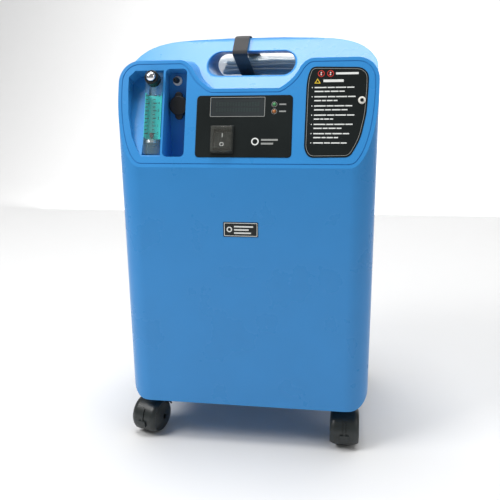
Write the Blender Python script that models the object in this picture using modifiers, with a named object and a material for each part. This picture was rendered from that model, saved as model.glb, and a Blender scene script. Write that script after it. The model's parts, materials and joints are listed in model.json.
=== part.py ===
"""Home oxygen concentrator on four twin-wheel castors.

Units are metres in the scene. All the dimensions below are in millimetres and are scaled once, where
a mesh is made. X runs left to right, the front faces -Y, and the floor is Z = 0.
"""

import math

import bmesh
import bpy
from mathutils import Matrix, Vector

MM = 0.001

# --- body -------------------------------------------------------------------
HALF_W = 175.0  # half the width of the cabinet
FRONT_Y = -143.0  # flat lower front
REAR_Y = 143.0  # flat back
FLOOR_Z = 65.0  # underside of the cabinet
CREST_Z = 583.0  # top of the handle arch
LIP_Z = 410.0  # where the leaning control face starts
LEAN = 0.3406  # how far the control face leans back for each unit of height
ISLAND_Z = 511.0  # top edge of the control face between the shoulders
SHOULDER_Z = 549.0
DECK_Z = 522.0  # rear deck behind the handle
CORNER_R = 35.0  # upright corners
SOLE_R = 25.0  # lower edges
WALL = 3.0
GAP = 0.3  # clearance kept between neighbouring pieces

# --- handle hole ---------------------------------------------------------------
HOLE_HALF = 61.5
HOLE_Z0, HOLE_Z1 = 528.5, 561.7

# --- control face, as (x, s): s is the distance up the face from its lip ----------
PANEL = (-64.0, 64.0, 14.0, 97.0)
LCD = (-45.0, 27.0, 69.0, 94.0)
LEDS = ((40.0, 84.6), (40.0, 75.2))
ROCKER = (-43.8, -12.3, 18.4, 55.8)
RESET = (153.0, 89.0)
LABEL = (
    (87.6, 134.6), (152, 133), (161, 124.5), (161, 107), (159, 72), (153, 42.6),
    (147.6, 30), (139, 14.8), (87, 13.9), (80.5, 25), (81.4, 108), (82.8, 122),
)
BAY_X = (-138.0, -112.2)  # slot that holds the flowmeter
POCKET_X = (-109.4, -79.6)  # deep pocket of the outlet
OUTLET = (-98.0, 522.0)  # x, z
PORT = (-94.5, 488.0)  # x, z
TUBE_X = -128.3  # flowmeter tube
KNOB = (-124.8, 119.0)

# --- castors -----------------------------------------------------------------
WHEEL_R = 25.0
TRAIL = 20.0
STEM_X, STEM_Y = 143.0, 92.0
CASTORS = (
    ("front_right", STEM_X, -STEM_Y, 0.0),
    ("front_left", -STEM_X, -STEM_Y, -20.0),
    ("rear_right", STEM_X, STEM_Y, 162.0),
    ("rear_left", -STEM_X, STEM_Y, 197.0),
)

COWL_EDGE = ((28.4, 13.4), (27.6, 17.0), (25.8, 19.8), (24.0, 20.8))
COWL_LINING = ((22.6, 19.4), (24.4, 16.6), (25.9, 14.0))
COWL = (
    [(r, x) for r, x in COWL_EDGE + COWL_LINING]
    + [(r, -x) for r, x in COWL_LINING[::-1] + COWL_EDGE[::-1]]
)

PAINT = {
    "blue": ((0.10, 0.34, 0.72), 0.0, 0.35),
    "black": ((0.012, 0.014, 0.013), 0.0, 0.4),
    "charcoal": ((0.02, 0.024, 0.025), 0.0, 0.5),
    "grey": ((0.3, 0.31, 0.32), 0.0, 0.5),
    "white": ((0.8, 0.8, 0.78), 0.0, 0.4),
    "teal": ((0.0, 0.42, 0.38), 0.0, 0.4),
    "clear": ((0.85, 0.93, 0.93), 0.0, 0.08),
    "smoke": ((0.05, 0.06, 0.06), 0.0, 0.15),
    "green": ((0.1, 0.6, 0.2), 0.0, 0.2),
    "amber": ((0.8, 0.4, 0.05), 0.0, 0.2),
    "red": ((0.25, 0.02, 0.02), 0.0, 0.3),
    "steel": ((0.55, 0.56, 0.58), 1.0, 0.35),
    "chrome": ((0.8, 0.8, 0.82), 1.0, 0.12),
    "alloy": ((0.6, 0.61, 0.63), 1.0, 0.45),
    "copper": ((0.72, 0.38, 0.22), 1.0, 0.3),
    "board": ((0.02, 0.18, 0.08), 0.0, 0.5),
    "foam": ((0.03, 0.03, 0.035), 0.0, 0.95),
}


# --- helpers -----------------------------------------------------------------
def clear_scene():
    for obj in list(bpy.data.objects):
        bpy.data.objects.remove(obj, do_unlink=True)


def plain(points):
    return [Vector(p) for p in points]


def solid(name, verts, faces):
    """A closed mesh object from points in millimetres, with its faces turned outwards."""
    mesh = bpy.data.meshes.new(name)
    mesh.from_pydata([tuple(Vector(v) * MM) for v in verts], [], faces)
    work = bmesh.new()
    work.from_mesh(mesh)
    bmesh.ops.recalc_face_normals(work, faces=work.faces)
    work.to_mesh(mesh)
    work.free()
    obj = bpy.data.objects.new(name, mesh)
    bpy.context.scene.collection.objects.link(obj)
    return obj


AXES = {
    "x": Matrix(((0, 0, 1, 0), (1, 0, 0, 0), (0, 1, 0, 0), (0, 0, 0, 1))),
    "y": Matrix(((1, 0, 0, 0), (0, 0, 1, 0), (0, 1, 0, 0), (0, 0, 0, 1))),
    "z": Matrix.Identity(4),
}
TILT = math.atan(LEAN)
UP = Vector((0, math.sin(TILT), math.cos(TILT)))
OUT = Vector((0, -math.cos(TILT), math.sin(TILT)))
FACE = Matrix(((1, 0, 0, 0), (0, UP.y, OUT.y, FRONT_Y), (0, UP.z, OUT.z, LIP_Z), (0, 0, 0, 1)))


def prism(name, outline, low, high, frame="z"):
    """The outline pushed along the third axis of a frame. x takes (y, z) points and y takes (x, z)."""
    frame = AXES.get(frame, frame) if isinstance(frame, str) else frame
    n = len(outline)
    verts = [frame @ Vector((a, b, c)) for c in (low, high) for a, b in outline]
    sides = [(i, (i + 1) % n, n + (i + 1) % n, n + i) for i in range(n)]
    return solid(name, verts, [tuple(range(n)), tuple(range(n, 2 * n))] + sides)


def box(name, x, y, z, frame="z"):
    corners = ((x[0], y[0]), (x[1], y[0]), (x[1], y[1]), (x[0], y[1]))
    return prism(name, corners, z[0], z[1], frame)


def arc(cx, cy, r, start, end, n):
    steps = [math.radians(start + (end - start) * i / n) for i in range(n + 1)]
    return [(cx + r * math.cos(a), cy + r * math.sin(a)) for a in steps]


def rounded(x0, x1, y0, y1, r, n=3):
    return (
        arc(x1 - r, y0 + r, r, -90, 0, n) + arc(x1 - r, y1 - r, r, 0, 90, n)
        + arc(x0 + r, y1 - r, r, 90, 180, n) + arc(x0 + r, y0 + r, r, 180, 270, n)
    )


def inset(outline, t):
    """The outline moved inwards by t on every side. A negative t moves it out."""
    if not t:
        return list(outline)
    pts = [Vector(p) for p in outline]
    area = sum(a.x * b.y - b.x * a.y for a, b in zip(pts, pts[1:] + pts[:1]))
    side = 1 if area > 0 else -1
    moved = []
    for before, here, after in zip(pts[-1:] + pts[:-1], pts, pts[1:] + pts[:1]):
        d1, d2 = (here - before).normalized(), (after - here).normalized()
        n1, n2 = Vector((-d1.y, d1.x)) * side, Vector((-d2.y, d2.x)) * side
        moved.append(tuple(here + (n1 + n2) * (t / (1 + n1.dot(n2)))))
    return moved


def axis_frame(origin, direction):
    turn = Vector((0, 0, 1)).rotation_difference(Vector(direction)).to_matrix().to_4x4()
    return Matrix.Translation(Vector(origin)) @ turn


def lathe(name, profile, frame=None, steps=24, ring=False):
    """(radius, height) points turned round the third axis of the frame. A ring has a hole through."""
    frame = frame or Matrix.Identity(4)
    rows, verts, faces = [], [], []
    for r, h in profile:
        count = 1 if r < 1e-6 else steps
        rows.append([len(verts) + i for i in range(count)])
        turns = [2 * math.pi * i / steps for i in range(count)]
        verts += [frame @ Vector((r * math.cos(a), r * math.sin(a), h)) for a in turns]
    pairs = list(zip(rows, rows[1:] + rows[:1])) if ring else list(zip(rows, rows[1:]))
    for low, high in pairs:
        for i in range(steps):
            j = (i + 1) % steps
            quad = [low[i % len(low)], low[j % len(low)], high[j % len(high)], high[i % len(high)]]
            quad = list(dict.fromkeys(quad))
            if len(quad) > 2:
                faces.append(tuple(quad))
    if not ring:
        faces += [tuple(row) for row in (rows[0], rows[-1]) if len(row) > 1]
    return solid(name, verts, faces)


def rod(name, r, start, end, steps=16):
    start, end = Vector(start), Vector(end)
    length = (end - start).length
    return lathe(name, [(r, 0), (r, length)], axis_frame(start, end - start), steps)


def pipe(name, path, r, sides=8):
    """A round bar along a path of points, with flat ends."""
    pts, verts, faces = plain(path), [], []
    side = None
    for i, p in enumerate(pts):
        along = (pts[min(i + 1, len(pts) - 1)] - pts[max(i - 1, 0)]).normalized()
        side = along.orthogonal() if side is None else side - along * side.dot(along)
        side = side.normalized()
        other = along.cross(side)
        for k in range(sides):
            a = 2 * math.pi * k / sides
            verts.append(p + side * (r * math.cos(a)) + other * (r * math.sin(a)))
    for i in range(len(pts) - 1):
        for k in range(sides):
            j = (k + 1) % sides
            base, nxt = i * sides, (i + 1) * sides
            faces.append((base + k, base + j, nxt + j, nxt + k))
    last = (len(pts) - 1) * sides
    return solid(name, verts, faces + [tuple(range(sides)), tuple(range(last, last + sides))])


def combine(target, others, operation):
    """Applies exact Booleans to the target in turn, and drops the tools."""
    for other in others if isinstance(others, (list, tuple)) else [others]:
        step = target.modifiers.new("step", "BOOLEAN")
        step.operation, step.solver, step.object = operation, "EXACT", other
        graph = bpy.context.evaluated_depsgraph_get()
        result = bpy.data.meshes.new_from_object(target.evaluated_get(graph))
        target.modifiers.remove(step)
        target.data = result
        bpy.data.objects.remove(other, do_unlink=True)
    return target


def cut(target, *others):
    return combine(target, others, "DIFFERENCE")


def fuse(target, *others):
    return combine(target, others, "UNION")


def common(target, *others):
    return combine(target, others, "INTERSECT")


def soften(obj, width, segments=1, angle=40):
    bevel = obj.modifiers.new("soft edge", "BEVEL")
    bevel.width, bevel.segments = width * MM, segments
    bevel.limit_method, bevel.angle_limit = "ANGLE", math.radians(angle)
    return obj


def finish(obj, name, paint, smooth=False, pivot=None):
    """Names the piece, gives it its own material and puts its origin on its joint."""
    obj.name = obj.data.name = name
    rgb, metallic, rough = PAINT[paint]
    material = bpy.data.materials.new(name)
    material.use_nodes = True
    shader = material.node_tree.nodes["Principled BSDF"]
    shader.inputs["Base Color"].default_value = (*rgb, 1)
    shader.inputs["Metallic"].default_value = metallic
    shader.inputs["Roughness"].default_value = rough
    if paint == "clear":
        shader.inputs["Transmission Weight"].default_value = 0.9
    obj.data.materials.clear()
    obj.data.materials.append(material)
    if pivot is not None:
        here = Vector(pivot) * MM
        obj.data.transform(Matrix.Translation(-here))
        obj.location = here
    if smooth:
        obj.data.shade_smooth()
        obj.data.set_sharp_from_angle(angle=math.radians(38))
    return obj


# --- cabinet -------------------------------------------------------------------
def arch_outline(t):
    """(x, z) silhouette of the cabinet: flat crest, round shoulders, straight sides, soft sole."""
    right = [(0, 583), (60, 582), (112, 579.3), (134, 575.6), (150, 570), (161, 563), (169, 554.5),
             (173.6, 547), (175, 538)]
    right += arc(HALF_W - SOLE_R, FLOOR_Z + SOLE_R, SOLE_R, 0, -90, 4)
    left = [(-x, z) for x, z in reversed(right) if x > 0]
    return inset(right + left, t)


def plan_outline(t, back):
    """(x, y) outline with round upright corners on the side away from `back`."""
    y = FRONT_Y if back >= 0 else REAR_Y
    way = 1 if y < 0 else -1
    corner = arc(HALF_W - CORNER_R, 0, CORNER_R, -90, 0, 6)
    right = [(x, y + way * (CORNER_R + dy)) for x, dy in corner] + [(HALF_W, back)]
    return inset([(-x, yy) for x, yy in reversed(right)] + right, t)


def front_solid(t, back):
    """The front half of the cabinet, with every outside face moved in by t, up to y = back."""
    top = FRONT_Y + LEAN * (ISLAND_Z - LIP_Z)
    core = [(back, FLOOR_Z), (FRONT_Y, FLOOR_Z), (FRONT_Y, LIP_Z), (top, ISLAND_Z),
            (-90, ISLAND_Z), (-12, 574.2), (-7, 579), (0, 582), (back + 0.01, 582.5)]
    ledge = FRONT_Y + LEAN * (SHOULDER_Z - LIP_Z)
    flank = [(back, FLOOR_Z), (FRONT_Y, FLOOR_Z), (FRONT_Y, LIP_Z), (ledge, SHOULDER_Z),
             (back, SHOULDER_Z)]
    dip = [(89, 549), (82, 546.6), (76, 542), (71, 535.5), (67, 529), (61, 522.6), (54, 517),
           (45, ISLAND_Z)]
    half = [(HALF_W, 40)] + arc(147, 521, 28, 0, 90, 5) + dip
    shoulders = half + [(-x, z) for x, z in reversed(half)]
    body = prism("core", inset(core, t), -190, 190, "x")
    sides = prism("flank", inset(flank, t), -189, 189, "x")
    common(sides, prism("shoulders", inset(shoulders, t), -199, back + 1, "y"))
    fuse(body, sides)
    common(body, prism("arch", arch_outline(t), -200, back + 2, "y"))
    return common(body, prism("plan", plan_outline(t, back + 3), 0, 700))


def rear_solid(t, back):
    """The rear half: the back of the handle arch over a flat deck."""
    bar = [(back, 400), (back, 582.2), (0, 582), (6, 583), (13, 582), (19, 578.6), (23, 572),
           (31, DECK_Z + 5), (36, DECK_Z), (38, 400)]
    bar = [p for p in bar if p[0] >= back]
    trunk = [(HALF_W, 40)] + arc(HALF_W - 26, DECK_Z - 26, 26, 0, 90, 4)
    trunk = trunk + [(-x, z) for x, z in reversed(trunk)]
    side = [(back, FLOOR_Z)] + [(REAR_Y, FLOOR_Z)] + arc(REAR_Y - 22, DECK_Z - 22, 22, 0, 90, 4)
    body = prism("trunk", inset(side + [(back, DECK_Z)], t), -190, 190, "x")
    common(body, prism("deck", inset(trunk, t), back - 1, 199, "y"))
    fuse(body, prism("bar", inset(bar, t), -189, 189, "x"))
    common(body, prism("arch", arch_outline(t), back - 2, 200, "y"))
    return common(body, prism("plan", plan_outline(t, back - 3), 0, 700))


def hole(t, low, high, name="hole"):
    r = (HOLE_Z1 - HOLE_Z0) / 2
    mid = (HOLE_Z0 + HOLE_Z1) / 2
    slot = arc(HOLE_HALF - r, mid, r, -90, 90, 8) + arc(-HOLE_HALF + r, mid, r, 90, 270, 8)
    return prism(name, inset(slot, -t), low, high, "y")


def recesses(t):
    """What is scooped out of the left of the control face, each wall moved out by t."""
    bay_edge = [(-x, s) for x, s in LABEL[:8]]
    bay_edge += [(BAY_X[1], 14.8), (BAY_X[1], 134.6)]
    ramp = prism("ramp", inset(bay_edge, -t), -60, 30 + t, FACE)
    wedge = [(14 - t, 40), (14 - t, -t), (134.6 + t, -25 - t), (140, -25 - t), (140, 40)]
    turned = FACE @ Matrix(((0, 0, 1, 0), (1, 0, 0, 0), (0, 1, 0, 0), (0, 0, 0, 1)))
    common(ramp, prism("wedge", wedge, -190, 0, turned))
    bay = box("bay", (BAY_X[0] - t, BAY_X[1] + t), (16.5 - t, 132 + t), (-24.5 - t, 41), FACE)
    outline = rounded(POCKET_X[0] - t, POCKET_X[1] + t, 14.5 - t, 135 + t, 6 + t)
    pocket = prism("pocket", outline, -90, 42, FACE)
    back = [(-78 + t, 560), (-92 + t, 405), (-190, 405), (-190, 560)]
    common(pocket, prism("back", back, -190, 0, "x"))
    return [ramp, bay, pocket]


def face_seats():
    """Shallow seats for the panel, the label and the badge, and the openings behind them."""
    x0, x1, s0, s1 = PANEL
    seats = [
        prism("seat", rounded(x0 - GAP, x1 + GAP, s0 - GAP, s1 + GAP, 5.3), -1.2, 5, FACE),
        prism("seat", inset(LABEL, -GAP), -1.0, 5, FACE),
        box("seat", (-27.1, 21.1), (FRONT_Y - 5, FRONT_Y + 1.0), (316.7, 337.3)),
        box("window", (LCD[0] + 0.2, LCD[1] - 0.2), (LCD[2] + 0.2, LCD[3] - 0.2), (-9, 2), FACE),
        box("switch", (-42, -14), (20.4, 53.8), (-9, 2), FACE),
        lathe("reset", [(4.4, -9), (4.4, 2)], FACE @ Matrix.Translation((*RESET, 0)), 16),
    ]
    for x, s in LEDS:
        seats.append(lathe("led", [(2.8, -9), (2.8, 2)], FACE @ Matrix.Translation((x, s, 0)), 12))
    return seats


def stem_holes(y):
    return [rod("stem", 5.2, (x, y, 50), (x, y, 75)) for x in (-STEM_X, STEM_X)]


def pocket_frame(x, z):
    """Square to the pocket's back wall, with its origin on that wall."""
    rise = Vector((0, 14, 155)).normalized()
    return axis_frame((x, -78 - 14 * (560 - z) / 155, z), (0, -rise.z, rise.y))


def front_shell():
    shell = front_solid(0, 0)
    cavity = front_solid(WALL, 12)
    cut(cavity, *recesses(WALL), hole(WALL, -150, 40))
    cut(shell, cavity, *recesses(0), hole(0, -150, 40), *face_seats(), *stem_holes(-STEM_Y))
    for centre, r in ((OUTLET, 3.7), (PORT, 5.4)):
        cut(shell, lathe("port", [(r, -12), (r, 12)], pocket_frame(*centre), 20))
    finish(shell, "front_shell", "blue", smooth=True)


def rear_shell():
    shell = rear_solid(0, GAP)
    cavity = rear_solid(WALL, -12)
    cut(cavity, hole(WALL, -40, 50))
    cut(shell, cavity, hole(0, -40, 60), *stem_holes(STEM_Y))
    cut(
        shell,
        box("door way", (-71, 71), (REAR_Y - 2.2, REAR_Y + 9), (328, 496)),
        box("intake", (-60, 60), (REAR_Y - 9, REAR_Y + 8), (345, 455)),
        box("vent seat", (-63, 63), (REAR_Y - 1.2, REAR_Y + 7), (88, 214)),
        lathe("vent", [(55, -9), (55, 9)], axis_frame((0, REAR_Y, 151), (0, 1, 0)), 28),
        box("socket", (103.2, 132.8), (REAR_Y - 9, REAR_Y + 6), (109.2, 132.8)),
    )
    finish(shell, "rear_shell", "blue", smooth=True)


def base_pan():
    """Steel floor tray inside the cabinet, with a socket for each castor."""
    pan = prism("pan", rounded(-150, 150, -138, 138, 32, 4), FLOOR_Z + 3.5, FLOOR_Z + 6.5)
    for x in (-STEM_X, STEM_X):
        for y in (-STEM_Y, STEM_Y):
            fuse(pan, rod("socket", 8.0, (x, y, 69), (x, y, 97), 20))
    for x in (-STEM_X, STEM_X):
        for y in (-STEM_Y, STEM_Y):
            cut(pan, rod("bore", 4.6, (x, y, 60), (x, y, 93)))
    finish(pan, "base_pan", "steel", smooth=True)


# --- control face ------------------------------------------------------------------
def control_face():
    x0, x1, s0, s1 = PANEL
    panel = prism("panel", rounded(x0, x1, s0, s1, 5), -0.9, 0.7, FACE)
    cut(
        panel,
        box("window", (LCD[0], LCD[1]), (LCD[2], LCD[3]), (-9, 9), FACE),
        box("switch", (-42.3, -13.7), (20.1, 54.1), (-9, 9), FACE),
        *[lathe("led", [(2.8, -9), (2.8, 9)], FACE @ Matrix.Translation((x, s, 0)), 16)
          for x, s in LEDS],
    )
    finish(panel, "display_panel", "black")
    glass = box("lcd", (LCD[0] + 0.5, LCD[1] - 0.5), (LCD[2] + 0.5, LCD[3] - 0.5), (-12, 0.2), FACE)
    fuse(glass, box("carrier", (-49, 31), (64, 99), (-16, -4), FACE))
    finish(glass, "lcd_module", "smoke")
    dome = [(0, -14), (2.4, -14), (2.4, 0.8), (1.8, 1.9), (0, 2.4)]
    for (x, s), name, paint in zip(LEDS, ("led_run", "led_alarm"), ("green", "amber")):
        finish(lathe("led", dome, FACE @ Matrix.Translation((x, s, 0)), 12), name, paint, True)

    x0, x1, s0, s1 = ROCKER
    mid_x, mid_s = (x0 + x1) / 2, (s0 + s1) / 2
    housing = prism("flange", rounded(x0, x1, s0, s1, 2, 2), 1.0, 3.0, FACE)
    fuse(housing, box("tub", (-41.6, -14.4), (20.8, 53.4), (-24, 2), FACE))
    cut(housing, box("well", (-39.2, -16.8), (23.2, 51.0), (-21, 9), FACE))
    finish(housing, "switch_housing", "black")
    pivot = FACE @ Vector((mid_x, mid_s, -2))
    lever = [(-12.0, -3.0), (-11.6, 4.8), (0, 2.4), (11.6, 0.9), (12.0, -5.0), (4, -11), (-4, -11)]
    turned = FACE @ Matrix.Translation((0, mid_s, -1)) @ Matrix(
        ((0, 0, 1, 0), (1, 0, 0, 0), (0, 1, 0, 0), (0, 0, 0, 1)))
    rocker = prism("lever", lever, mid_x - 10.6, mid_x + 10.6, turned)
    finish(soften(rocker, 0.5), "switch_rocker", "black", pivot=pivot)
    boot = prism("boot", rounded(x0 + 1.2, x1 - 1.2, s0 + 1.2, s1 - 1.2, 3, 3), 3.3, 9.2, FACE)
    soften(boot, 2.0, 2, 60)
    graph = bpy.context.evaluated_depsgraph_get()
    boot.data = bpy.data.meshes.new_from_object(boot.evaluated_get(graph))
    boot.modifiers.clear()
    cut(boot, prism("in", rounded(x0 + 2.4, x1 - 2.4, s0 + 2.4, s1 - 2.4, 2, 2), 1, 8.2, FACE))
    finish(boot, "switch_boot", "clear", smooth=True)

    label = prism("label", LABEL, -0.7, 0.4, FACE)
    cut(label, lathe("reset", [(4.5, -5), (4.5, 5)], FACE @ Matrix.Translation((*RESET, 0)), 20))
    finish(label, "notice_label", "black")
    finish(box("badge", (-26.5, 20.5), (FRONT_Y - 0.3, FRONT_Y + 0.7), (317, 337)), "front_badge",
           "black")

    seat = FACE @ Matrix.Translation((*RESET, 0))
    nut = lathe("nut", [(2.5, 2.4), (4.0, 2.4), (4.8, 1.8), (4.8, 0.7), (4.1, 0.7), (4.1, -3.6),
                        (7.5, -3.6), (7.5, -26), (2.5, -26)], seat, 20, ring=True)
    finish(nut, "breaker_body", "white", smooth=True)
    push = lathe("push", [(0, -12), (2.1, -12), (2.1, 3.6), (1.6, 4.2), (0, 4.4)], seat, 16)
    finish(push, "reset_button", "black", smooth=True, pivot=seat @ Vector((0, 0, 0)))


def flowmeter():
    block = prism("block", rounded(-136.8, -113.2, 18.5, 130, 2, 2), -21, 0, FACE)
    tube = FACE @ Matrix.Translation((TUBE_X, 0, -11)) @ AXES["y"]
    cut(block, lathe("bore", [(3.7, 10), (3.7, 140)], tube, 16))
    cut(block, lathe("counterbore", [(8.0, 10), (8.0, 40)], tube, 20))
    stem = FACE @ Matrix.Translation((*KNOB, 0))
    cut(block, lathe("stem", [(3.0, -9), (3.0, 5)], stem, 16))
    finish(block, "flowmeter_body", "clear", smooth=True)
    plate = box("plate", (-136.2, -113.8), (40, 104), (-23.2, -21.6), FACE)
    finish(plate, "flow_scale", "teal")
    ring = lathe("seat", [(2.2, 34.6), (7.6, 34.6), (7.6, 38.4), (6.4, 39.4), (2.2, 39.4)], tube, 20,
                 ring=True)
    finish(ring, "flow_seat", "steel", smooth=True)
    bob = lathe("bob", [(0, 41), (1.4, 42), (3.1, 47), (3.1, 49), (0, 49)], tube, 14)
    finish(bob, "flow_float", "red", smooth=True, pivot=tube @ Vector((0, 0, 45)))
    knob = lathe("knob", [(0, -6), (2.6, -6), (2.6, 0.8), (9.0, 0.8), (9.8, 2.2), (9.6, 14),
                          (8.6, 15.4), (6.9, 15.4), (6.9, 14.0), (0, 14.0)], stem, 28)
    finish(knob, "flow_knob", "black", smooth=True, pivot=stem @ Vector((0, 0, 0)))
    cap = lathe("cap", [(0, 14.3), (6.5, 14.3), (6.5, 16.4), (5.4, 18.6), (3.2, 20), (0, 20.5)],
                stem, 24)
    finish(cap, "knob_cap", "chrome", smooth=True)


def ports():
    x, z = OUTLET
    out = pocket_frame(x, z)
    ring = lathe("ring", [(3.5, 0.3), (6.5, 0.3), (6.5, 1.8), (5.6, 2.8), (3.5, 2.8)], out, 24,
                 ring=True)
    finish(ring, "outlet_ring", "white", smooth=True)
    barbs = [(1.5, -8), (3.1, -8), (3.1, 6), (3.9, 6), (3.2, 9.6), (3.9, 9.8), (3.1, 13.4),
             (3.7, 13.6), (2.4, 18), (1.5, 18)]
    finish(lathe("nipple", barbs, out, 20, ring=True), "outlet_nipple", "charcoal", smooth=True)

    x, z = PORT
    out = pocket_frame(x, z)
    neck = [(3.0, -10), (5.0, -10), (5.0, 0.4), (8.0, 0.4), (8.0, 3.0), (5.8, 3.0), (5.8, 10),
            (3.0, 10)]
    finish(lathe("neck", neck, out, 20, ring=True), "aux_port", "grey", smooth=True)
    side = out.inverted().to_3x3() @ Vector((1, 0, 0))
    upright = Matrix.Rotation(math.atan2(side.y, side.x), 4, "Z")
    cap = lathe("cap", [(0, 1.2), (13.3, 1.2), (13.3, 11.5), (12.2, 13.2), (0, 13.6)], out, 32)
    for reach in (18.6, -19.0):
        low, high = sorted((reach * 0.3, reach))
        fuse(cap, prism("lobe", rounded(-5.5, 5.5, low, high, 5.4, 4), 6.4, 12.4, out @ upright))
    cut(cap, lathe("well", [(10.2, -1), (10.2, 10.6)], out, 24))
    finish(cap, "port_cap", "black", smooth=True, pivot=out @ upright @ Vector((0, 17, 9.4)))


# --- soft goods --------------------------------------------------------------------
def soft_goods():
    """Strap round the handle bar and the spares bag that it holds on the rear deck."""
    path = [(6, 584.2), (-8, 581.4), (-15, 576.0), (-33.5, 561.6), (-31, 556.4), (6, 540.5),
            (31, 531.5), (43, 526.2), (60, 524.9), (104, 524.9), (111, 529), (112.5, 546), (106, 561.5),
            (60, 567.0), (30, 576.5), (18, 583.2)]
    strap = prism("band", inset(path, -1.9), -29, -7.5, "x")
    cut(strap, prism("inside", path, -40, 10, "x"))
    finish(strap, "strap", "black", smooth=True)

    rows, verts, faces = 14, [], []
    for i in range(rows + 1):
        u = -1 + 2 * i / rows
        w = (1 - abs(u) ** 3.2) ** 0.5
        for k in range(18):
            a = 2 * math.pi * k / 18
            c, s = math.cos(a), math.sin(a)
            cy = math.copysign(abs(c) ** 0.62, c)
            cz = math.copysign(abs(s) ** 0.62, s)
            wave = 1 + 0.03 * math.sin(5 * u + 2 * a) * w
            verts.append((86 * u, 72 + 34.5 * cy * max(w, 0.16) * wave,
                          544.0 + 17.2 * cz * max(w, 0.16)))
    for i in range(rows):
        for k in range(18):
            j = (k + 1) % 18
            faces.append((i * 18 + k, i * 18 + j, (i + 1) * 18 + j, (i + 1) * 18 + k))
    faces += [tuple(range(18)), tuple(range(rows * 18, rows * 18 + 18))]
    finish(solid("bag", verts, faces), "accessory_bag", "clear", smooth=True)


# --- castors -----------------------------------------------------------------------
def sector(name, r0, r1, start, end, half, n=8):
    """An arc-shaped bar round the wheel centre, as wide as 2 * half, angles up from the trail side."""
    ring = arc(0, 0, r1, start, end, n) + arc(0, 0, r0, end, start, n)
    pts = [(-TRAIL - a, WHEEL_R + b) for a, b in ring]
    return prism(name, pts, -half, half, "x")


def cowl(profile, start, end, n):
    """A (radius, x) section swept part of the way round the wheel centre, from the trail side up."""
    verts, faces, m = [], [], len(profile)
    for i in range(n + 1):
        a = math.radians(start + (end - start) * i / n)
        verts += [(x, -TRAIL - r * math.cos(a), WHEEL_R + r * math.sin(a)) for r, x in profile]
    for i in range(n):
        for k in range(m):
            j = (k + 1) % m
            faces.append((i * m + k, i * m + j, (i + 1) * m + j, (i + 1) * m + k))
    return solid("cowl", verts, faces + [tuple(range(m)), tuple(range(n * m, n * m + m))])


def castor(place, x, y, turn, pedal):
    frame = Matrix.Translation((x, y, 0)) @ Matrix.Rotation(math.radians(turn), 4, "Z")
    hub = axis_frame((0, -TRAIL, WHEEL_R), (1, 0, 0))

    hood = cowl(COWL, -34, 150, 14)
    fuse(hood, sector("web", 0.01, 26.6, -20, 150, 2.6, 10))
    fuse(hood, rod("boss", 9.0, (0, 0, 40), (0, 0, 61), 20))
    spaces = [lathe("space", [(0, a), (25.7, a), (25.7, b), (0, b)], hub, 28)
              for a, b in ((3.0, 14.2), (-14.2, -3.0))]
    cut(hood, *spaces)
    fuse(hood, rod("stem", 4.2, (0, 0, 52), (0, 0, 90), 16))
    fuse(hood, rod("axle", 3.4, (-14, -TRAIL, WHEEL_R), (14, -TRAIL, WHEEL_R), 14))
    if pedal:
        cut(hood, sector("slot", 27.4, 30, -6, 42, 2.4, 6))
    move(hood, frame)
    finish(hood, f"castor_{place}_hood", "charcoal", smooth=True, pivot=(x, y, 60))
    for side, way in (("inner", -1), ("outer", 1)):
        form = [(3.8, 3.4), (20.5, 3.4), (24.2, 4.0), (WHEEL_R, 5.6), (WHEEL_R, 13.6), (23.8, 15.4),
                (20.0, 18.2), (12.0, 20.8), (3.8, 21.5)]
        wheel = lathe("wheel", [(r, way * h) for r, h in form], hub, 24, ring=True)
        move(wheel, frame)
        centre = frame @ Vector((way * 12, -TRAIL, WHEEL_R))
        finish(wheel, f"castor_{place}_wheel_{side}", "charcoal", smooth=True, pivot=centre)
    if pedal:
        lever = sector("lever", 28.0, 29.6, 0, 40, 1.7, 6)
        fuse(lever, sector("pad", 28.8, 31.0, -16, 2, 6.4, 3))
        move(lever, frame)
        top = (-TRAIL - 28.8 * math.cos(math.radians(40)), WHEEL_R + 28.8 * math.sin(math.radians(40)))
        finish(lever, f"castor_{place}_brake", "charcoal", pivot=frame @ Vector((0, *top)))


def move(obj, frame):
    shift = frame.copy()
    shift.translation = frame.translation * MM
    obj.data.transform(shift)


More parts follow.
